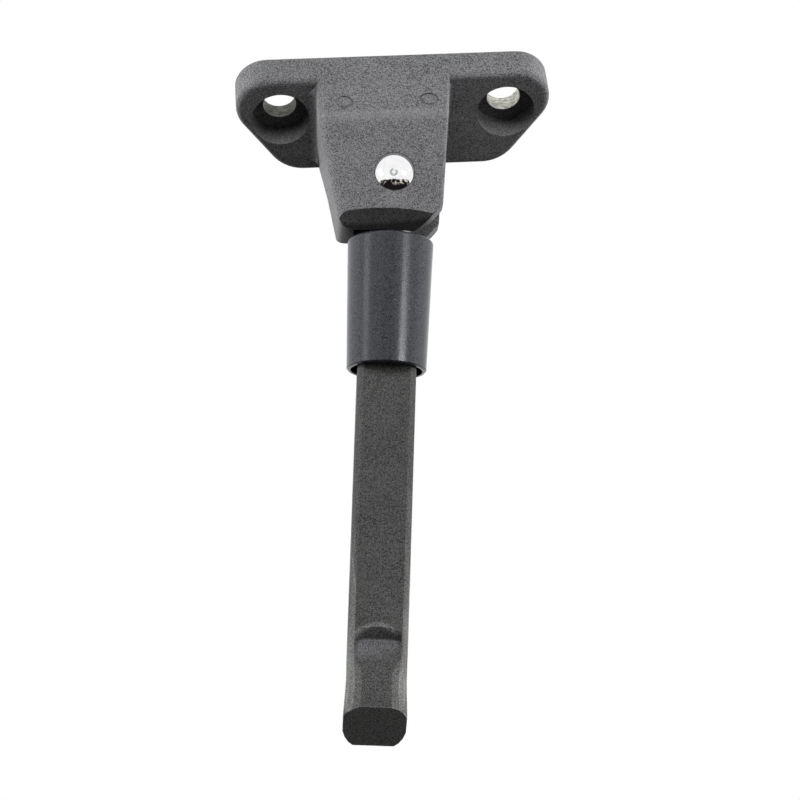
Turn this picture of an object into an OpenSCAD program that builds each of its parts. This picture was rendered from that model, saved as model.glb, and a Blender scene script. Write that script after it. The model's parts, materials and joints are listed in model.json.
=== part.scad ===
// Side stand for an electric scooter: a cast bracket, a folding leg and a sprung locking sleeve.
// Z = 0 is the face that lies against the deck. The leg reaches down and outwards, towards +Y.

/* [Mounting plate] */
// Distance between the two screw holes
hole_spacing = 43.5; // [41:0.5:50]
// Diameter of the screw holes
hole_d = 6.4; // [5.5:0.1:6.6]
// Diameter of the recesses for the screw heads
head_d = 11.2; // [10:0.1:11.6]
// Thickness left under each screw head
web_t = 3.3; // [2.5:0.1:4]
// Overall width of the plate
plate_w = 60.4; // [59:0.2:66]
// Distance from the hole line to the front edge
plate_front = 8.75; // [8:0.25:10]
// Distance from the hole line to the rear edge
plate_rear = 12; // [11:0.05:13]
// Plate thickness at the front edge
plate_t = 6.7; // [5.5:0.1:8]
// Slope of the plate's underside
plate_slope = 7; // [3:1:9]
// Radius of the plate's front corners
corner_r = 6.3; // [5.5:0.1:7]
// Radius of the plate's rear corners
rear_r = 7.5; // [6:0.1:8]
// Distance of the rear corners' centres from the middle
rear_x = 17.4; // [16:0.1:18]

/* [Housing] */
// Angle between the leg and the deck's normal
leg_tilt = 29; // [25:1:33]
// Lean of the lowered leg past square, away from the folding side
leg_lean = 5; // [2:1:8]
// Depth of the front bend below the deck
bend_z = 17.3; // [15:0.1:20]
// Distance of the pivot from the front bend, along the housing
pivot_drop = 11.3; // [10:0.1:13]
// Sideways place of the pivot
pivot_x = -1.2; // [-3:0.1:1]
// Thickness of the housing along the pivot pin
housing_t = 17; // [16.8:0.1:19]
// Width of the slot for the stem
slot_w = 8.2; // [7.8:0.1:8.6]
// Housing's left side, from the pivot
side_left = 12.05; // [11:0.05:13]
// Housing's right side, from the pivot
side_right = 9.5; // [8.5:0.1:9.8]
// Rounding of the housing's edges
edge_r = 1.1; // [0.6:0.1:1.4]
// Radius of the fillets between the plate and the housing
root_r = 1.8; // [0.8:0.1:2.4]
// Lower end of the housing, from the pivot
low_drop = 10.4; // [9.8:0.1:10.6]
// Front lower edge, from the pivot
lip_drop = 7.1; // [6.5:0.1:8]
// Slope of the lower edges' relief
lip_slope = 33; // [28:1:38]
// Radius of the relief's arch
lip_arch_r = 45; // [35:1:70]
// Diameter of the round marks left by the mould
mark_d = 3.3; // [2.5:0.1:4]

/* [Pivot] */
// Diameter of the pivot pin
pin_d = 5; // [4:0.1:5.6]
// Diameter of the pin's domed head
dome_d = 7.3; // [6.6:0.1:8]
// Height of the domed head
dome_h = 1.7; // [1.4:0.1:3]
// Diameter of the pin's riveted tail
tail_d = 7.4; // [6.8:0.1:8]
// Thickness of the tail's washer
tail_washer_t = 0.8; // [0.5:0.1:1.2]
// Wall of the bush in the stem's eye
bush_t = 1; // [0.6:0.1:1.3]
// Thickness of each thrust washer
thrust_t = 0.5; // [0.3:0.1:0.8]

/* [Stem and spring] */
// Radius of the stem's eye
eye_r = 7; // [6.4:0.1:7.4]
// Diameter of the stem's shank
shank_d = 7.5; // [7:0.1:7.8]
// Diameter of the spigot in the leg
spigot_d = 6; // [5:0.1:6.4]
// Length of the spigot
spigot_l = 15; // [10:0.5:20]
// Diameter of the cross pin through the leg and spigot
lock_d = 2.5; // [2:0.1:3]
// Diameter of the spring wire
wire_d = 1.4; // [1:0.1:1.6]
// Mean diameter of the spring
coil_d = 10.7; // [10:0.1:11.2]
// Turns of the spring
coil_turns = 6.5; // [4:0.5:8]
// Thickness of the spring's seat washer
seat_t = 0.8; // [0.5:0.1:1.2]

/* [Sleeve] */
// Distance of the sleeve's top from the pivot
sleeve_top = 11.2; // [11:0.1:12]
// Length of the sleeve
sleeve_l = 25; // [22:0.5:30]
// Diameter of the sleeve's top
sleeve_top_d = 16.15; // [15.8:0.05:16.6]
// Diameter of the sleeve's lower end
sleeve_end_d = 14.9; // [14.7:0.05:15.6]
// Diameter of the sleeve's inside
sleeve_bore_d = 13.4; // [13.2:0.05:13.6]
// Thickness of the sleeve's closed top
sleeve_cap_t = 2; // [1.5:0.1:3]
// Travel of the sleeve when it is pulled down
sleeve_travel = 4; // [3:0.5:5]

/* [Leg] */
// Width of the leg
leg_w = 10.85; // [10:0.05:11]
// Thickness of the leg
leg_t = 9; // [8.5:0.1:9.4]
// Bevel along the leg's edges
leg_bevel = 1.15; // [1:0.05:1.6]
// Distance of the leg's top from the pivot
leg_start = 30; // [28:0.5:32]
// Distance of the middle of the sole from the pivot
sole_drop = 102; // [95:1:130]
// Slope of the sole against the leg
sole_slope = 34; // [25:1:38]
// Widening of the foot on each side
foot_flare = 0.3; // [0:0.05:0.8]
// Bevel of the foot's front edges, across
foot_front_w = 2.8; // [2:0.1:3.4]
// Bevel of the foot's front edges, through
foot_front_t = 2.4; // [1.6:0.1:3]
// Bevel of the foot's rear edges, across
foot_rear_w = 2; // [1.6:0.1:2.8]
// Bevel of the foot's rear edges, through
foot_rear_t = 3.3; // [2:0.1:3.6]
// Distance of the toe notch's lower end from the sole's front edge
notch_up = 8.3; // [8:0.1:12]
// Length of the toe notch
notch_l = 6.1; // [5:0.1:7]
// Width of the toe notch
notch_w = 8.4; // [6:0.1:8.6]
// Depth of the toe notch
notch_depth = 1.3; // [0.8:0.1:1.6]

/* [Fits] */
// Clearance of a shaft in its hole, on the radius
fit = 0.05; // [0.03:0.01:0.08]
// Clearance between pieces that pass each other
gap = 0.3; // [0.25:0.05:0.4]
// Clearance of parts that are pressed together, on the radius
press = 0.02; // [0.01:0.01:0.03]
// Clearance of the stem from its lowered stop
stop_gap = 0.1; // [0.05:0.05:0.2]

/* [Hidden] */
$fn = 64;
big = 80;

half_t = housing_t / 2;
pivot_y = -plate_front + pivot_drop * sin(leg_tilt) + half_t * cos(leg_tilt);
pivot_z = -bend_z - pivot_drop * cos(leg_tilt) + half_t * sin(leg_tilt);
cam_r = sleeve_top - gap;
right_slant = 0.12;
left_slant = 0.15;
mark_x = 6.2;
mark_gap = 16.1;
mark_z = 13.4;
mark_depth = 0.15;
mark_line = 0.3;
bend_r = 3;
past = 0.03;
rear_step = 0.6;
plate_soft = 0.5;
left_low_r = 2;
right_low_r = 2.5;
left_edge_r = 2;
right_edge_r = 0.8;
eye_t = slot_w - 2 * thrust_t - 4 * fit;
neck_l = 2;
thrust_r = eye_r * 0.83;
bush_r = pin_d / 2 + bush_t;
washer_r = tail_d / 2 + 1;
tail_h = dome_d * 0.2;
lock_z = leg_start + spigot_l / 4;
lock_short = 0.2;
blind_l = 0.5;
sleeve_soft = 0.5;
foot_from = 10.5;
foot_to = 5;
notch_lip = 0.2;
notch_r = 0.6;
sole_front = sole_drop - leg_t / 2 * tan(sole_slope);

// Frame of the housing: X across, Y up along the housing, Z out of its front face, from the pivot
module in_housing() {
    translate([pivot_x, pivot_y, pivot_z]) rotate([90 + leg_tilt, 0, 0]) children();
}

// Frame of the lowered leg: X across, Y towards the front, Z down along the leg, from the pivot
module along_leg() {
    in_housing() rotate([0, 0, -leg_lean]) rotate([90, 0, 0]) children();
}

module ring(outer_r, inner_r, height) {
    difference() {
        cylinder(r = outer_r, h = height);
        translate([0, 0, -1]) cylinder(r = inner_r, h = height + 2);
    }
}

// Depth of the sloped underside at a distance behind the hole line
function under_z(y) = -plate_t - (y + plate_front) * tan(plate_slope);

// Widths of the housing on either side of the pivot, at a height above it, with the left side upright
// above the front bend
function right_at(y) = side_right + y * right_slant;
function left_at(y) = side_left + min(y, pivot_drop) * left_slant;

// Points of a corner's arc about a centre
function arc(x, y, r, from, to, n) = [for (i = [0:n]) let (a = from + (to - from) * i / n)
    [x + r * cos(a), y + r * sin(a)]];

// Closed body through rings of points with the same count each
module skin(rings) {
    n = len(rings[0]);
    last = (len(rings) - 1) * n;
    sides = [for (i = [0:len(rings) - 2]) for (k = [0:n - 1]) let (a = i * n + k, b = i * n + (k + 1) % n)
        each [[a, b, b + n], [a, b + n, a + n]]];
    polyhedron([for (ring = rings) each ring],
        concat([[for (k = [n - 1:-1:0]) k]], sides, [[for (k = [0:n - 1]) last + k]]));
}

// Outline of the plate seen from above, smaller on every side by an inset
function plate_outline(inset) =
    let (front_x = plate_w / 2 - corner_r, front_y = corner_r - plate_front, rear_y = plate_rear - rear_r,
        run = front_x - rear_x, rise = rear_y - front_y,
        turn = atan2(run, rise) + asin((corner_r - rear_r) / norm([run, rise])))
    concat(arc(front_x, front_y, corner_r - inset, -90, turn, 16),
        arc(rear_x, rear_y, rear_r - inset, turn, 90, 10),
        arc(-rear_x, rear_y, rear_r - inset, 90, 180 - turn, 10),
        arc(-front_x, front_y, corner_r - inset, 180 - turn, 270, 16));

// Plate with its sloped underside and rounded edges, as rings of points from the top down
module plate() {
    upper = [for (a = [0, 45, 90])
        [for (q = plate_outline(plate_soft * (1 - sin(a)))) [q[0], q[1], plate_soft * (cos(a) - 1)]]];
    lower = [for (a = [0:22.5:90]) [for (q = plate_outline(edge_r * (1 - cos(a))))
        [q[0], q[1], under_z(q[1]) + edge_r * (1 - sin(a))]]];
    skin(concat(upper, lower));
}

// Centre of a rounded lower corner of the housing, on its left or right side
function low_corner(side, r) =
    let (slant = side > 0 ? right_slant : left_slant, rough = side > 0 ? side_right - r : r - side_left,
        y = (r - low_drop - rough * sin(leg_lean)) / cos(leg_lean))
    [side > 0 ? right_at(y) - r * norm([1, slant]) : r * norm([1, slant]) - left_at(y), y];

// Housing: its outline from the front, through its outline from the side
module housing() {
    tall = bend_z + 6;
    bend = bend_r * tan(leg_tilt / 2);
    down = [sin(leg_tilt), -cos(leg_tilt)];
    front_low = [-plate_front, -bend_z] + down * tall;
    rear = plate_rear - rear_step;
    rear_turn = (rear - pivot_y - half_t * cos(leg_tilt)) / sin(leg_tilt);
    rear_high = [pivot_y + half_t * cos(leg_tilt), pivot_z + half_t * sin(leg_tilt)] + down * rear_turn;
    left_low = low_corner(-1, left_low_r);
    right_low = low_corner(1, right_low_r);
    intersection() {
        in_housing() translate([0, 0, -big / 2]) linear_extrude(big)
            polygon(concat([[-left_at(tall), tall], [-left_at(pivot_drop), pivot_drop]],
                arc(left_low[0], left_low[1], left_low_r, 180 + atan(left_slant), 270 - leg_lean, 7),
                arc(right_low[0], right_low[1], right_low_r, 270 - leg_lean, 360 - atan(right_slant), 7),
                [[right_at(tall), tall]]));
        translate([-big / 2, 0, 0]) rotate([90, 0, 90]) linear_extrude(big)
            polygon(concat([[-plate_front, -1]],
                arc(bend_r - plate_front, bend - bend_z, bend_r, 180, 180 + leg_tilt, 6),
                [front_low, rear_high + down * tall, rear_high, [rear, -1]]));
    }
}

// Where one side of the housing meets the plate's underside, at a distance behind the hole line
function root_x(side, y) =
    let (up = -sin(leg_tilt) * (y - pivot_y) + cos(leg_tilt) * (under_z(y) - pivot_z))
    pivot_x + (side > 0 ? right_at(up) : -left_at(up));

// Fillet along the corner between the plate's underside and one side of the housing
module root_fillet(side, r) {
    front = -plate_front + 1.4 * edge_r;
    rear = plate_rear - 2 * edge_r;
    swing = atan((root_x(side, rear) - root_x(side, front)) / (rear - front));
    length = (rear - front) / cos(swing) / cos(plate_slope);
    translate([root_x(side, front), front, under_z(front)]) rotate([0, 0, -swing])
        rotate([-90 - plate_slope, 0, 0]) mirror([side > 0 ? 0 : 1, 0, 0])
        difference() {
            linear_extrude(length)
                polygon(concat([[-r, r], [-r, -r], [r, -r]], arc(r, r, r, 270, 180, 6)));
            rotate([0, 0, 45]) rotate([0, -60, 0])
                translate([-big / 2, -big / 2, -big]) cube([big, big, big]);
        }
}

// Rounding along one front edge of the housing: on its slanted face, and on its upright face
module edge_round(side, r) {
    start = [side > 0 ? right_at(pivot_drop) : -left_at(pivot_drop), pivot_drop, half_t];
    slant = side > 0 ? right_slant : left_slant;
    profile = concat([[-r, r], [r, r], [r, -r]], arc(-r, -r, r + past, 0, 90, 5));
    in_housing() translate(start) mirror([side > 0 ? 0 : 1, 0, 0]) {
        rotate([0, 0, -atan(slant)]) rotate([90, 0, 0]) translate([0, 0, -r / 2])
            linear_extrude(big / 2) polygon(profile);
        rotate([-leg_tilt, 0, 0]) rotate([0, 0, side > 0 ? -atan(slant) : 0]) rotate([-90, 0, 0])
            linear_extrude(bend_z - plate_t + 2 * edge_r) polygon([for (q = profile) [q[0], -q[1]]]);
    }
}

// Round marks of the mould's ejectors on the front face
module ejector_marks() {
    for (x = [mark_x - mark_gap, mark_x]) translate([x, -plate_front + mark_depth, -mark_z])
        rotate([90, 0, 0]) ring(mark_d / 2, mark_d / 2 - mark_line, 1);
}

// Arched relief that takes the lower edge off one wall of the housing
module lip_relief(side) {
    in_housing() rotate([0, 0, -leg_lean])
        translate([0, -lip_drop, side * half_t])
        rotate([-side * lip_slope, 0, 0])
        translate([0, -lip_arch_r, -big])
        cylinder(r = lip_arch_r, h = 2 * big, $fn = 3 * $fn);
}

// Room for the sleeve's top as the leg folds about the pivot
module cam_relief() {
    reach = sleeve_top_d / 2 + gap;
    in_housing() rotate([0, 0, -leg_lean]) {
        translate([-big / 2, -big - cam_r, -big / 2]) cube([big, big, big]);
        intersection() {
            translate([0, 0, -big / 2]) ring(big / 2, cam_r, big);
            translate([0, -big, -big / 2]) cube([big, big, big]);
        }
    }
}

// Slot of the stem: open downwards and to the folding side, closed at the lowered stop
module stem_slot() {
    stop = eye_r + stop_gap;
    roof = eye_r + gap;
    in_housing() translate([0, 0, -slot_w / 2]) linear_extrude(slot_w)
        polygon([[-stop / cos(leg_lean) + roof * tan(leg_lean), roof], [big / 2, roof],
            [big / 2, -big / 2], [-stop / cos(leg_lean) - big / 2 * tan(leg_lean), -big / 2]]);
}

module bracket() {
    color("dimgray") difference() {
        union() {
            plate();
            difference() {
                housing();
                edge_round(-1, left_edge_r);
                edge_round(1, right_edge_r);
            }
            root_fillet(-1, root_r);
            root_fillet(1, root_r / 2);
        }
        for (side = [-1, 1]) translate([side * hole_spacing / 2, 0, 0]) {
            translate([0, 0, -big / 2]) cylinder(d = hole_d, h = big);
            translate([0, 0, -big - web_t]) cylinder(d = head_d, h = big);
        }
        ejector_marks();
        stem_slot();
        lip_relief(1);
        lip_relief(-1);
        cam_relief();
        in_housing() {
            translate([0, 0, -big / 2]) cylinder(d = pin_d + 2 * fit, h = big);
            translate([0, 0, -half_t - big]) cylinder(r = washer_r + 2 * gap, h = big);
        }
    }
}

module pivot_pin() {
    cap_r = (pow(dome_d / 2, 2) + pow(dome_h, 2)) / (2 * dome_h);
    under = half_t + tail_washer_t;
    color("gainsboro") in_housing() {
        translate([0, 0, -under]) cylinder(d = pin_d, h = under + half_t);
        translate([0, 0, half_t]) intersection() {
            translate([0, 0, dome_h - cap_r]) sphere(r = cap_r);
            cylinder(d = dome_d, h = dome_h + 1);
        }
        translate([0, 0, -under - tail_h]) cylinder(d1 = (pin_d + tail_d) / 2, d2 = tail_d, h = tail_h);
    }
}

module tail_washer() {
    color("silver") in_housing() translate([0, 0, -half_t - tail_washer_t])
        ring(washer_r, pin_d / 2 + fit, tail_washer_t);
}

module thrust_washer(side) {
    color("ivory") in_housing()
        translate([0, 0, side > 0 ? eye_t / 2 + fit : -eye_t / 2 - fit - thrust_t])
        ring(thrust_r, pin_d / 2 + 2 * fit, thrust_t);
}

// Steel stem: flat eye in the slot, round shank through the sleeve, spigot in the leg
module stem() {
    neck_x = shank_d * 0.42;
    color("slategray") along_leg() difference() {
        union() {
            translate([0, eye_t / 2, 0]) rotate([90, 0, 0]) linear_extrude(eye_t) {
                circle(r = eye_r);
                polygon([[-eye_r, 0], [eye_r, 0], [eye_r * 0.95, eye_r * 0.6], [neck_x, eye_r + neck_l],
                    [-neck_x, eye_r + neck_l], [-eye_r * 0.95, eye_r * 0.6]]);
            }
            translate([0, 0, eye_r]) cylinder(d = shank_d, h = leg_start - eye_r);
            translate([0, 0, leg_start - 1]) cylinder(d = spigot_d, h = spigot_l + 1);
        }
        translate([0, -big / 2, 0]) rotate([-90, 0, 0]) cylinder(r = bush_r + press, h = big);
        translate([0, -big / 2, lock_z]) rotate([-90, 0, 0]) cylinder(r = lock_d / 2 + press, h = big);
    }
}

module eye_bush() {
    color("peru") in_housing() translate([0, 0, -eye_t / 2]) ring(bush_r, pin_d / 2 + fit, eye_t);
}

module stem_lock_pin() {
    color("silver") along_leg() translate([0, lock_short - leg_t / 2, lock_z])
        rotate([-90, 0, 0]) cylinder(d = lock_d, h = leg_t - 2 * lock_short);
}

module spring_seat() {
    color("silver") along_leg() translate([0, 0, leg_start - seat_t])
        ring((coil_d + wire_d) / 2 + 2 * fit, shank_d / 2 + fit, seat_t);
}

// Coil spring between the sleeve's closed top and the seat on the leg
module spring() {
    from = sleeve_top + sleeve_cap_t + wire_d / 2 + press;
    to = leg_start - seat_t - wire_d / 2 - press;
    ring_n = 20;
    wire_n = 8;
    steps = round(coil_turns * ring_n);
    flat = ring_n * 0.75;
    rise = function (i) let (a = min(max(i - flat, 0), steps - 2 * flat)) a / (steps - 2 * flat);
    points = [for (i = [0:steps]) let (turn = 360 * i / ring_n, z = from + (to - from) * rise(i))
        for (k = [0:wire_n - 1]) let (a = 360 * k / wire_n, r = coil_d / 2 + wire_d / 2 * cos(a))
        [r * cos(turn), r * sin(turn), z + wire_d / 2 * sin(a)]];
    sides = [for (i = [0:steps - 1]) for (k = [0:wire_n - 1]) let (n = (k + 1) % wire_n)
        [i * wire_n + k, i * wire_n + n, (i + 1) * wire_n + n, (i + 1) * wire_n + k]];
    color("darkgray") along_leg() polyhedron(points, concat(
        [[for (k = [wire_n - 1:-1:0]) k]], sides, [[for (k = [0:wire_n - 1]) steps * wire_n + k]]));
}

module sleeve() {
    top_r = sleeve_top_d / 2;
    end_r = sleeve_end_d / 2;
    end_soft = sleeve_soft * 0.6;
    color("darkslategray") along_leg() translate([0, 0, sleeve_top]) rotate_extrude($fn = 96)
        difference() {
            polygon(concat([[0, 0]],
                [for (a = [0:15:90]) [top_r - sleeve_soft * (1 - sin(a)), sleeve_soft * (1 - cos(a))]],
                [[end_r, sleeve_l - end_soft], [end_r - end_soft, sleeve_l], [0, sleeve_l]]));
            translate([-1, -1]) square([1 + shank_d / 2 + fit, sleeve_l + 2]);
            translate([0, sleeve_cap_t]) square([sleeve_bore_d / 2, sleeve_l]);
        }
}

// Smooth rise from 0 to 1 between two places
function rise(z, from, to) = let (t = min(max((z - from) / (to - from), 0), 1)) t * t * (3 - 2 * t);
function blend(low, high, share) = low + (high - low) * share;

// One bevelled corner of the leg's section, from its wide face to its side, with the bevel's ends softened
function corner(half_w, half_d, w, t, softness) = [for (i = [0:3]) let (s = i / 3)
    [half_w - w + w * blend(s, sin(90 * s), softness), half_d - t + t * blend(1 - s, cos(90 * s), softness)]];
function mirrored(points, x, y) = [for (q = points) [q[0] * x, q[1] * y]];
function reversed(points) = [for (i = [len(points) - 1:-1:0]) points[i]];

// Section of the leg at a distance from the pivot
function leg_section(z) =
    let (foot = rise(z, sole_front - foot_from, sole_front - foot_to),
        half_w = leg_w / 2 + foot_flare * rise(z, sole_front - foot_to, sole_front + 1),
        softness = blend(0.3, 0.55, foot),
        front = corner(half_w, leg_t / 2, blend(leg_bevel, foot_front_w, foot),
            blend(leg_bevel, foot_front_t, foot), softness),
        rear = corner(half_w, leg_t / 2, blend(leg_bevel, foot_rear_w, foot),
            blend(leg_bevel, foot_rear_t, foot), softness))
    [for (q = concat(front, reversed(mirrored(rear, 1, -1)), mirrored(rear, -1, -1),
        reversed(mirrored(front, -1, 1)))) [q[0], q[1], z]];

// Leg with the foot's wider bevels, as sections from the top down
module leg_bar() {
    stations = concat([leg_start, sole_front - foot_from], [for (i = [1:6])
        sole_front - foot_from + (foot_from - foot_to) * i / 6],
        [sole_front - foot_to / 2, sole_front + 1, sole_drop + leg_t]);
    skin([for (z = stations) leg_section(z)]);
}

// Notch for the toe in the front of the foot: a sloped arch above, and a floor that rises to the lower end
module toe_notch() {
    low = sole_front - notch_up;
    high = low - notch_l;
    half = notch_w / 2;
    wall = notch_l * 0.35;
    face = leg_t / 2;
    floor_high = high + wall;
    floor_slope = (notch_depth - notch_lip) / (low - floor_high);
    skin([for (out = [0.5, -notch_depth]) let (top = high - wall * out / notch_depth,
        drop = wall * (0.6 + 0.4 * out / notch_depth))
        [for (q = concat(arc(notch_r - half, low - notch_r, notch_r, 180, 90, 3),
            arc(half - notch_r, low - notch_r, notch_r, 90, 0, 3),
            [for (a = [0:15:180]) [half * cos(a), top + drop * (1 - sin(a))]]))
            [q[0], out > 0 ? face + out : face - notch_depth + floor_slope * (q[1] - floor_high), q[1]]]]);
}

module leg() {
    color("dimgray") along_leg() difference() {
        leg_bar();
        toe_notch();
        translate([0, 0, sole_drop]) rotate([-sole_slope, 0, 0])
            translate([-big / 2, -big / 2, 0]) cube([big, big, big]);
        translate([0, 0, leg_start - 1]) cylinder(r = spigot_d / 2 + press, h = spigot_l + 1 + blind_l);
        translate([0, -big / 2, lock_z]) rotate([-90, 0, 0]) cylinder(r = lock_d / 2 + press, h = big);
    }
}

bracket();
pivot_pin();
tail_washer();
thrust_washer(1);  // thrust_washer_front
thrust_washer(-1);  // thrust_washer_rear
stem();
eye_bush();
stem_lock_pin();
spring_seat();
spring();
sleeve();
leg();
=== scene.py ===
import json
import math

import bpy
from mathutils import Matrix, Vector

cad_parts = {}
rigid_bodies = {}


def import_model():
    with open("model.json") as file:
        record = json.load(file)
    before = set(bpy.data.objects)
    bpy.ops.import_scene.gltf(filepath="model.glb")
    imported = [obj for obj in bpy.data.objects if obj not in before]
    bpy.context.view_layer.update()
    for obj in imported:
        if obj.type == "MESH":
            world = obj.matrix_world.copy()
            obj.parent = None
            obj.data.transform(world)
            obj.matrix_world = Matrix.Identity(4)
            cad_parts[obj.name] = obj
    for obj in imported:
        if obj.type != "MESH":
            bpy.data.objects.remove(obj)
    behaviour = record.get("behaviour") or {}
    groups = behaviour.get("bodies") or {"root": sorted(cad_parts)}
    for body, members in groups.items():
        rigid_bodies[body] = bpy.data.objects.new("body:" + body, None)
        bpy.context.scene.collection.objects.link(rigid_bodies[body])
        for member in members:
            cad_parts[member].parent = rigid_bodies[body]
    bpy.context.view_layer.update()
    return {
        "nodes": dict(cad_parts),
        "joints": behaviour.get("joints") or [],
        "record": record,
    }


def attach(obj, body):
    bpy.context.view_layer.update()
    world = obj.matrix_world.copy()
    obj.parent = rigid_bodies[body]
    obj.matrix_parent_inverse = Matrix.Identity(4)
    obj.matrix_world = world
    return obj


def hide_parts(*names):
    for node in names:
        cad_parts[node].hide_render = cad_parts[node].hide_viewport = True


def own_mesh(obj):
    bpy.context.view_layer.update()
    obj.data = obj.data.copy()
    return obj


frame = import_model()
nodes = frame["nodes"]
joints = {joint["name"]: joint for joint in frame["joints"]}
bolts = frame["record"]["mounts"][0]["dims"]

MM = 0.001


class Value:
    """A shader socket that takes plain arithmetic with numbers and other values."""

    def __init__(self, home, socket):
        self.home = home
        self.socket = socket

    def _math(self, kind, *others):
        return self.home.node("ShaderNodeMath", {"operation": kind}, "Value", self, *others)

    def __add__(self, other):
        return self._math("ADD", other)

    def __sub__(self, other):
        return self._math("SUBTRACT", other)

    def __mul__(self, other):
        return self._math("MULTIPLY", other)

    def __pow__(self, other):
        return self._math("POWER", other)

    def abs(self):
        return self._math("ABSOLUTE")

    def max(self, other):
        return self._math("MAXIMUM", other)

    def sqrt(self):
        return self._math("SQRT")

    def step(self, low, high, out_low=0.0, out_high=1.0):
        """Smooth change from out_low at low to out_high at high."""
        return self.home.node(
            "ShaderNodeMapRange", {"interpolation_type": "SMOOTHSTEP"}, "Result",
            self, low, high, out_low, out_high,
        )


class Nodes:
    """The node tree of a material or of the world."""

    def __init__(self, owner):
        owner.use_nodes = True
        self.owner = owner
        self.tree = owner.node_tree

    def node(self, kind, settings, output, *inputs, **named_inputs):
        """Adds a node, fills or links its inputs in their order or by name, and returns one output."""
        node = self.tree.nodes.new(kind)
        for setting, value in settings.items():
            setattr(node, setting, value)
        in_order = [socket for socket in node.inputs if socket.enabled]
        by_name = [(node.inputs[name], value) for name, value in named_inputs.items()]
        for socket, value in list(zip(in_order, inputs)) + by_name:
            if isinstance(value, Value):
                self.tree.links.new(value.socket, socket)
            else:
                socket.default_value = value
        outputs = [socket for socket in node.outputs if socket.enabled and socket.name == output]
        return Value(self, outputs[0])

    def ray(self, kind):
        """1 for rays of one kind, and 0 for all others."""
        return self.node("ShaderNodeLightPath", {}, kind)

    def switch(self, factor, plain, other):
        """One shader where the factor is 0, another where it is 1."""
        return self.node("ShaderNodeMixShader", {}, "Shader", factor, plain, other)

    def cover(self, shader):
        """Shows this shader on the whole surface."""
        output = next(node for node in self.tree.nodes if node.bl_idname.startswith("ShaderNodeOutput"))
        self.tree.links.new(shader.socket, output.inputs["Surface"])


class Paint(Nodes):
    """One material, painted by where a point lies on the object."""

    def __init__(self, name, **constants):
        super().__init__(bpy.data.materials.new(name))
        self.shader = self.tree.nodes["Principled BSDF"]
        for socket, value in constants.items():
            self.shader.inputs[socket.replace("_", " ")].default_value = value
        self.place = self.node("ShaderNodeTexCoord", {}, "Object")

    def vector(self, kind, output, *inputs):
        return self.node("ShaderNodeVectorMath", {"operation": kind}, output, *inputs)

    def xyz(self):
        """The three parts of the place, in metres."""
        return [self.node("ShaderNodeSeparateXYZ", {}, part, self.place) for part in "XYZ"]

    def along(self, direction, origin):
        """Distance from an origin along a direction."""
        from_origin = self.vector("SUBTRACT", "Vector", self.place, origin)
        return self.vector("DOT_PRODUCT", "Value", from_origin, direction)

    def apart(self, point):
        """Distance from a point."""
        return self.vector("DISTANCE", "Value", self.place, point)

    def noise(self, scale, detail=2.0, roughness=0.5, place=None):
        """Noise with this many waves in a metre."""
        return self.node(
            "ShaderNodeTexNoise", {"noise_dimensions": "3D"}, "Fac",
            Vector=place or self.place, Scale=scale, Detail=detail, Roughness=roughness,
        )

    def mix(self, factor, low, high):
        """Blend of two colours."""
        low, high = (colour if isinstance(colour, Value) else (*colour, 1) for colour in (low, high))
        return self.node("ShaderNodeMix", {"data_type": "RGBA"}, "Result", factor, low, high)

    def drive(self, socket, value):
        self.tree.links.new(value.socket, self.shader.inputs[socket])

    def bump(self, height, strength, distance):
        self.drive("Normal", self.node(
            "ShaderNodeBump", {}, "Normal", Height=height, Strength=strength, Distance=distance,
        ))

    def dress(self, *pieces):
        """Gives the pieces this material."""
        for piece in pieces:
            piece.data.materials.clear()
            piece.data.materials.append(self.owner)


class PowderCoat(Paint):
    """Fine textured coat: a dense grain of pale and dark specks, with pits and a soft mottle."""

    GRAIN_PER_M = 6000
    PITS_PER_M = 2600
    MOTTLE_PER_M = 130
    RELIEF = 0.09 * MM

    def __init__(self, name, dark, pale):
        super().__init__(name, IOR=1.45, Specular_IOR_Level=0.22)
        grain = self.noise(self.GRAIN_PER_M, 2, 0.6)
        pits = self.noise(self.PITS_PER_M, 1, 0.5)
        mottle = self.noise(self.MOTTLE_PER_M, 3, 0.6)
        speck = grain.step(0.38, 0.62) * 0.7 + pits.step(0.36, 0.64) * 0.2 + mottle.step(0.3, 0.7) * 0.1
        self.colour = self.mix(speck, dark, pale)
        self.rough = mottle.step(0.3, 0.7, 0.55, 0.68)
        self.bump(grain * 0.6 + pits * 0.4, 0.7, self.RELIEF)

    def tint(self, mask, colour):
        """Lays a colour over the coat, as strongly as the mask says."""
        self.colour = self.mix(mask, self.colour, colour)


# Places on the bracket: the pin's axis, the front face with its ejector marks and bend, and a stain
PIVOT = joints["leg_fold"]["pos_m"]
PIN_AXIS = joints["leg_fold"]["axis"]
TOWARD_LIP = Vector((1, 0, 0)).cross(PIN_AXIS)
HEAD_RADIUS = 3.6 * MM
LIP_FROM_PIVOT = 8.6 * MM
HOLE_X = bolts["spacing_x_mm"] / 2 * MM
HOLE_RADIUS = bolts["hole_r_mm"] * MM
FACE_Y = -8.75 * MM
MARK_Z = -13.4 * MM
LEFT_MARK_X = -9.9 * MM
RIGHT_MARK_X = 6.2 * MM
MARK_RADIUS = 1.65 * MM
BEND_Z = -17.3 * MM
STAIN_AT = Vector((25.4, -0.6, -3.4)) * MM


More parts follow.
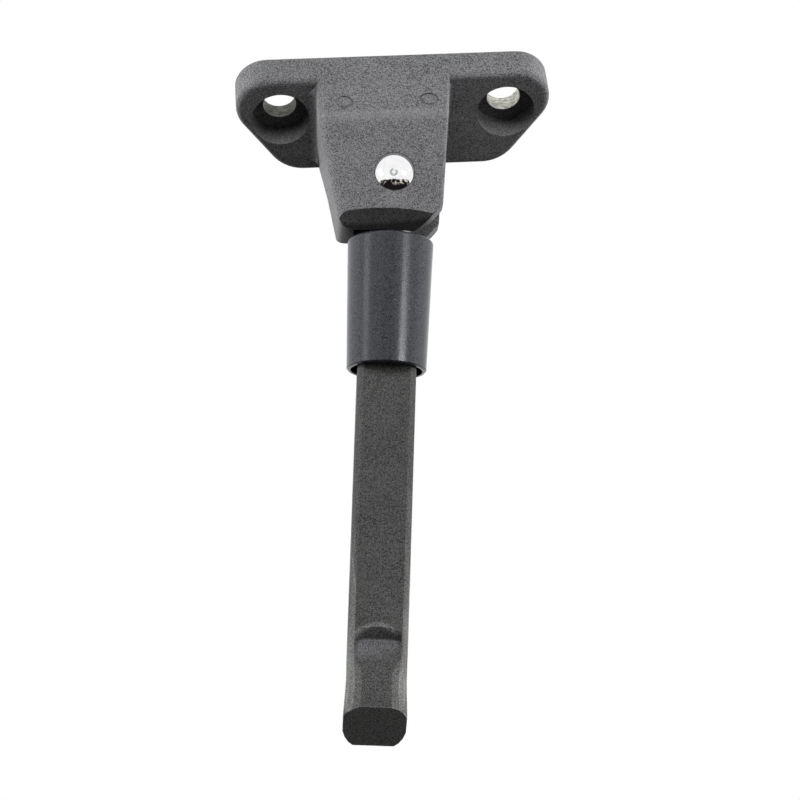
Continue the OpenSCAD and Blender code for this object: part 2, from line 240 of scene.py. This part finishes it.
def paint_bracket():
    """Black coat with a stain, dark lines of the ejector marks, painted shade round the pin's head and on
    the lip, a painted highlight on the bend, and bare walls in the screw holes, the left one painted
    darker as shade.
    """
    casting = PowderCoat("bracket_coat", (0.01, 0.01, 0.012), (0.25, 0.25, 0.255))
    x, y, z = casting.xyz()

    # Brown smear beside the right hole
    near_stain = casting.apart(STAIN_AT).step(0.4 * MM, 1.9 * MM, 0.75, 0.0)
    smeared = casting.noise(1500, 3, 0.7).step(0.4, 0.6)
    casting.tint(near_stain * smeared, (0.14, 0.09, 0.045))

    # Painted shade: a dark line round the pin's head, where it meets the face
    from_axis = (casting.apart(PIVOT) ** 2.0 - casting.along(PIN_AXIS, PIVOT) ** 2.0).sqrt()
    casting.tint(from_axis.step(HEAD_RADIUS, HEAD_RADIUS + 0.3 * MM, 0.9, 0.0), (0.008, 0.008, 0.01))

    # Dark line of the ejector marks, of which the left one shows on its right half alone
    left_line, right_line = (
        (casting.apart((mark_x, FACE_Y, MARK_Z)) - MARK_RADIUS).abs().step(0.06 * MM, 0.2 * MM, 0.6, 0.0)
        for mark_x in (LEFT_MARK_X, RIGHT_MARK_X)
    )
    right_half = x.step(LEFT_MARK_X - 0.4 * MM, LEFT_MARK_X + 0.4 * MM)
    casting.tint((left_line * right_half).max(right_line), (0.03, 0.03, 0.032))

    # Painted highlight: paler coat along the bend of the front face
    from_bend = ((y - FACE_Y) ** 2.0 + (z - BEND_Z) ** 2.0).sqrt()
    casting.tint(from_bend.step(0.4 * MM, 1.9 * MM, 0.28, 0.0), (0.25, 0.25, 0.255))

    # Painted shade: darker coat on the lip that the sleeve presses against
    lip_shade = casting.along(TOWARD_LIP, PIVOT).step(LIP_FROM_PIVOT, LIP_FROM_PIVOT + 0.8 * MM, 0.0, 0.7)
    casting.tint(lip_shade, (0.01, 0.01, 0.01))

    # Bare cast walls of the screw holes, streaked along the hole; the left wall is painted darker as
    # shade, the right one paler as lit
    squeezed = casting.vector("MULTIPLY", "Vector", casting.place, (900, 900, 2600))
    streaks = casting.noise(1.0, 3, 0.7, squeezed).step(0.3, 0.7)
    shaded_left_wall = casting.mix(streaks, (0.042, 0.043, 0.037), (0.195, 0.2, 0.175))
    lit_right_wall = casting.mix(streaks, (0.26, 0.26, 0.225), (0.84, 0.83, 0.77))
    from_hole = ((x.abs() - HOLE_X) ** 2.0 + y ** 2.0).sqrt()
    bare = from_hole.step(HOLE_RADIUS + 0.02 * MM, HOLE_RADIUS + 0.12 * MM, 1.0, 0.0)
    casting.tint(bare, casting.mix(x.step(-1 * MM, 1 * MM), shaded_left_wall, lit_right_wall))

    casting.drive("Base Color", casting.colour)
    casting.drive("Metallic", bare)
    casting.drive("Roughness", casting.rough * bare.step(0.0, 1.0, 1.0, 0.8))
    casting.dress(nodes["bracket"])


# Places on the leg: its sole, the floor of the toe notch and the arch over the notch
SOLE_AT = Vector((-11.0, 52.54, -111.79)) * MM
SOLE_NORMAL = (-0.072, -0.089, -0.993)
NOTCH_AT = Vector((-8.6, 43.87, -102.66)) * MM
NOTCH_NORMAL = (0.023, -0.972, -0.234)
ARCH_AT = Vector((-9.2, 43.2, -102.7)) * MM
ARCH_RADIUS = 4.6 * MM


def paint_leg():
    """Black coat with painted shade towards the foot, paler blotches on the sole, partly scuffs and
    partly painted light, and painted highlights on the toe rest and over the arch.
    """
    bar = PowderCoat("leg_coat", (0.001, 0.001, 0.001), (0.123, 0.123, 0.121))
    height = bar.xyz()[2]
    blotchy = bar.noise(5200, 2, 0.6).step(0.42, 0.58)
    # Painted shade: the coat darkens towards the foot
    bar.tint(height.step(-100 * MM, -55 * MM, 0.28, 0.0), (0.004, 0.004, 0.004))

    # Paler blotches on the sole: partly scuffs, partly painted light standing in for light from below
    sole = bar.along(SOLE_NORMAL, SOLE_AT).step(-0.09 * MM, -0.04 * MM, 0.0, 0.6)
    bar.tint(sole * blotchy, (0.22, 0.22, 0.215))

    # Painted highlight: a pale band along the arch over the toe notch
    from_arch = bar.apart(ARCH_AT)
    inner_edge = from_arch.step(ARCH_RADIUS - 0.5 * MM, ARCH_RADIUS, 0.0, 0.5)
    outer_edge = from_arch.step(ARCH_RADIUS + 0.3 * MM, ARCH_RADIUS + 0.8 * MM, 1.0, 0.0)
    over_notch = height.step(-100.5 * MM, -99.3 * MM)
    bar.tint(inner_edge * outer_edge * over_notch * blotchy, (0.25, 0.25, 0.25))

    # Painted highlight: paler coat on the floor of the toe notch
    on_floor = bar.along(NOTCH_NORMAL, NOTCH_AT).abs().step(0.1 * MM, 0.3 * MM, 0.55, 0.0)
    near_middle = bar.apart(NOTCH_AT).step(3.6 * MM, 4.8 * MM, 1.0, 0.0)
    above_foot = height.step(-104.4 * MM, -101.4 * MM)
    bar.tint(on_floor * near_middle * above_foot * blotchy, (0.2, 0.2, 0.215))

    bar.drive("Base Color", bar.colour)
    bar.drive("Roughness", bar.rough)
    bar.dress(nodes["leg"])


def paint_sleeve():
    """Smooth semi-gloss plastic with a faint speckle and a few specks of dust."""
    gloss = Paint("sleeve_gloss", IOR=1.45)
    speckle = gloss.noise(5000, 2, 0.6)
    drawn_out = gloss.vector("MULTIPLY", "Vector", gloss.place, (1, 1, 0.3))
    haze = gloss.noise(140, 4, 0.6, drawn_out)
    dust = gloss.noise(1900, 1, 0.5).step(0.8, 0.84) * 0.6
    tone = gloss.mix(speckle.step(0.3, 0.7), (0.001, 0.001, 0.002), (0.05, 0.054, 0.063))
    gloss.drive("Base Color", gloss.mix(dust, tone, (0.25, 0.25, 0.25)))
    gloss.drive("Roughness", haze.step(0.3, 0.7, 0.16, 0.25))
    gloss.bump(speckle, 0.35, 0.03 * MM)
    gloss.dress(nodes["sleeve"])


def plain_metal(name, low, high, roughness, scale=400):
    """Plated, turned or drawn metal with a slight change of tone."""
    metal = Paint(name, Metallic=1.0)
    tone = metal.noise(scale, 3, 0.6)
    metal.drive("Base Color", metal.mix(tone.step(0.3, 0.7), low, high))
    metal.drive("Roughness", tone.step(0.3, 0.7, roughness, roughness * 1.4))
    return metal


def white_nylon():
    """Slightly yellowed plastic of the thrust washers."""
    nylon = Paint("nylon", Roughness=0.45)
    nylon.drive("Base Color", nylon.mix(nylon.noise(300), (0.6, 0.58, 0.5), (0.7, 0.68, 0.6)))
    return nylon


MERGE_WITHIN = 0.001 * MM
SMOOTH_BELOW = math.radians(50)


def coil_that_shortens():
    """Smooth copy of the spring, attached to the parent body of the sleeve's slide in place of the hidden
    spring.
    """
    slide = joints["sleeve_slide"]
    down = Vector(slide["axis"])
    coil = bpy.data.objects.new("coil", nodes["spring"].data.copy())
    bpy.context.collection.objects.link(coil)
    bpy.ops.object.select_all(action="DESELECT")
    coil.select_set(True)
    bpy.context.view_layer.objects.active = coil
    bpy.ops.object.mode_set(mode="EDIT")
    bpy.ops.mesh.select_all(action="SELECT")
    bpy.ops.mesh.remove_doubles(threshold=MERGE_WITHIN)
    bpy.ops.object.mode_set(mode="OBJECT")
    bpy.ops.object.shade_smooth_by_angle(angle=SMOOTH_BELOW)
    places = [vertex.co.dot(down) for vertex in coil.data.vertices]
    foot = max(places)
    length = foot - min(places)
    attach(coil, slide["parent"])
    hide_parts("spring")
    down * foot
    1 - slide["range_m"][1] / length
    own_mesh(coil)
    return coil


paint_bracket()
paint_leg()
paint_sleeve()
plain_metal("pin_plate", (0.87, 0.87, 0.88), (0.93, 0.93, 0.93), 0.05, 900).dress(nodes["pivot_pin"])
plain_metal("zinc_plate", (0.5, 0.5, 0.52), (0.66, 0.66, 0.68), 0.3).dress(
    nodes["tail_washer"], nodes["spring_seat"],
)
plain_metal("turned_steel", (0.3, 0.3, 0.31), (0.42, 0.42, 0.43), 0.3).dress(nodes["stem"])
plain_metal("spring_steel", (0.4, 0.4, 0.41), (0.52, 0.52, 0.53), 0.28).dress(
    nodes["spring"], nodes["stem_lock_pin"], coil_that_shortens(),
)
plain_metal("bronze", (0.45, 0.27, 0.13), (0.6, 0.4, 0.22), 0.35).dress(nodes["eye_bush"])
white_nylon().dress(nodes["thrust_washer_front"], nodes["thrust_washer_rear"])

bpy.context.scene.view_settings.view_transform = "Standard"

# Camera, fitted to the photograph: where it stands, the way it looks and how it is tilted
PICTURE_PX = 800
FOCAL_PX = 2309
SENSOR_MM = 36
CAMERA_AT = Vector((-28.02, -293.53, -345.47)) * MM
VIEW = Vector((0.06045, 0.74216, 0.66750)).normalized()
ROLL = math.radians(-5.62)
level = Vector((VIEW.y, -VIEW.x, 0)).normalized()
upright = level.cross(VIEW)
across = math.cos(ROLL) * level + math.sin(ROLL) * upright
up = -math.sin(ROLL) * level + math.cos(ROLL) * upright

lens = bpy.data.cameras.new("camera")
lens.sensor_width = SENSOR_MM
lens.lens = FOCAL_PX / PICTURE_PX * SENSOR_MM
lens.clip_start = 0.01
camera = bpy.data.objects.new("camera", lens)
bpy.context.collection.objects.link(camera)
camera.matrix_world = Matrix.Translation(CAMERA_AT) @ Matrix((across, up, -VIEW)).transposed().to_4x4()
bpy.context.scene.camera = camera

# World: a soft light on the object, and white to the camera and in whatever mirrors or lets light through
WHITE = (1, 1, 1, 1)
WORLD_SOFT = 0.08
world = bpy.data.worlds.new("studio")
bpy.context.scene.world = world
sky = Nodes(world)
soft, white = (
    sky.node("ShaderNodeBackground", {}, "Background", WHITE, strength)
    for strength in (WORLD_SOFT, 1.0)
)
looked_at = sky.ray("Is Camera Ray").max(sky.ray("Is Glossy Ray")).max(sky.ray("Is Transmission Ray"))
sky.cover(sky.switch(looked_at, soft, white))

# Floor, well below the camera, which sees it white
FLOOR_Z = -0.62
FLOOR_WIDTH = 12
CAMERA_GLOW = 0.9

# Painted reflection, seen only by mirrored rays: a ragged dark patch with glints under the stand, and the
# ring of the lens opening
PATCH_X = -0.04
PATCH_Y = 0.3
PATCH_RADIUS = 0.62
PATCH_DEPTH_TO_WIDTH = 0.45
RAGGED_EDGE = 0.35
PIN_HEAD_AT = Vector((-1.2, -5.0, -30.0)) * MM
WAY_TO_LENS = (-0.046, -0.896, -0.440)


def painted_mirror_colours(paint):
    """Painted reflection: colours that polished metal mirrors from the floor."""
    x, y = paint.xyz()[:2]
    ripple = paint.noise(7.0, 3, 0.6)
    from_patch = (((x - PATCH_X) * PATCH_DEPTH_TO_WIDTH) ** 2.0 + (y - PATCH_Y) ** 2.0).sqrt()
    from_patch = from_patch + (ripple - 0.5) * RAGGED_EDGE
    patch = from_patch.step(PATCH_RADIUS, PATCH_RADIUS + 0.08, 1.0, 0.0)
    glints = paint.noise(4.0, 1, 0.5).step(0.52, 0.62) * from_patch.step(0.35, 0.55)
    patch_colour = paint.mix(glints, (0.012, 0.009, 0.01), (0.9, 0.85, 0.7))

    from_head = paint.vector("SUBTRACT", "Vector", paint.place, PIN_HEAD_AT - Vector((0, 0, FLOOR_Z)))
    way = paint.vector("NORMALIZE", "Vector", from_head)
    facing_lens = paint.vector("DOT_PRODUCT", "Value", way, WAY_TO_LENS)
    ring = facing_lens.step(0.944, 0.956) * facing_lens.step(0.986, 0.993, 1.0, 0.0)
    ring = ring * ripple.step(0.35, 0.6, 0.75, 0.45)
    ringed = paint.mix(ring, (1, 1, 1), (0.12, 0.15, 0.17))
    return paint.mix(patch, ringed, patch_colour)


bpy.ops.object.select_all(action="DESELECT")
bpy.ops.mesh.primitive_plane_add(size=FLOOR_WIDTH, location=(0, 0, FLOOR_Z))
floor = bpy.context.object
floor.name = "floor"
ground = Paint("floor", Base_Color=(0.08, 0.08, 0.08, 1), Roughness=0.9)
ground.dress(floor)
matt = Value(ground, ground.shader.outputs["BSDF"])
glow = ground.node("ShaderNodeEmission", {}, "Emission", WHITE, CAMERA_GLOW)
glowing = ground.node("ShaderNodeAddShader", {}, "Shader", matt, glow)
# Painted reflection: the floor glows with these colours for mirrored rays alone
painted_glow = ground.node("ShaderNodeEmission", {}, "Emission", painted_mirror_colours(ground), 1.0)
unmirrored = ground.switch(ground.ray("Is Camera Ray"), matt, glowing)
ground.cover(ground.switch(ground.ray("Is Glossy Ray"), unmirrored, painted_glow))

# Lamps, placed from what they light in the camera's directions: right, up and towards the camera
MIDDLE = Vector((0, 20, -50)) * MM
FOOT = Vector((-8.9, 48, -108.5)) * MM


def lamp(name, offset, size, power, mirrored=True, aim=MIDDLE, spread=180):
    """Soft area lamp with its size in metres, its power in watts and its spread in degrees."""
    data = bpy.data.lights.new(name, "AREA")
    data.shape = "RECTANGLE"
    data.size, data.size_y = size
    data.energy = power
    data.spread = math.radians(spread)
    source = bpy.data.objects.new(name, data)
    right, high, near = offset
    source.location = aim + across * right + up * high - VIEW * near
    source.rotation_euler = (aim - source.location).to_track_quat("-Z", "Y").to_euler()
    source.visible_glossy = mirrored
    bpy.context.collection.objects.link(source)


lamp("key", (0.0, 0.45, 0.43), (0.5, 0.36), 4.0, mirrored=False)
lamp("back", (0.0, 0.1, -0.75), (0.4, 0.4), 2.2, mirrored=False)
lamp("sleeve_right", (0.42, 0.155, 0.4), (0.2, 0.12), 0.85)
lamp("sleeve_left", (-0.513, 0.164, 0.253), (0.15, 0.3), 0.28)
for side in (-1, 1):
    lamp("side", (side * 0.3, 0.06, -0.06), (0.15, 0.15), 1.4, mirrored=False)
    lamp("foot", (side * 0.28, 0.02, 0.02), (0.04, 0.04), 0.0185, mirrored=False, aim=FOOT, spread=12)
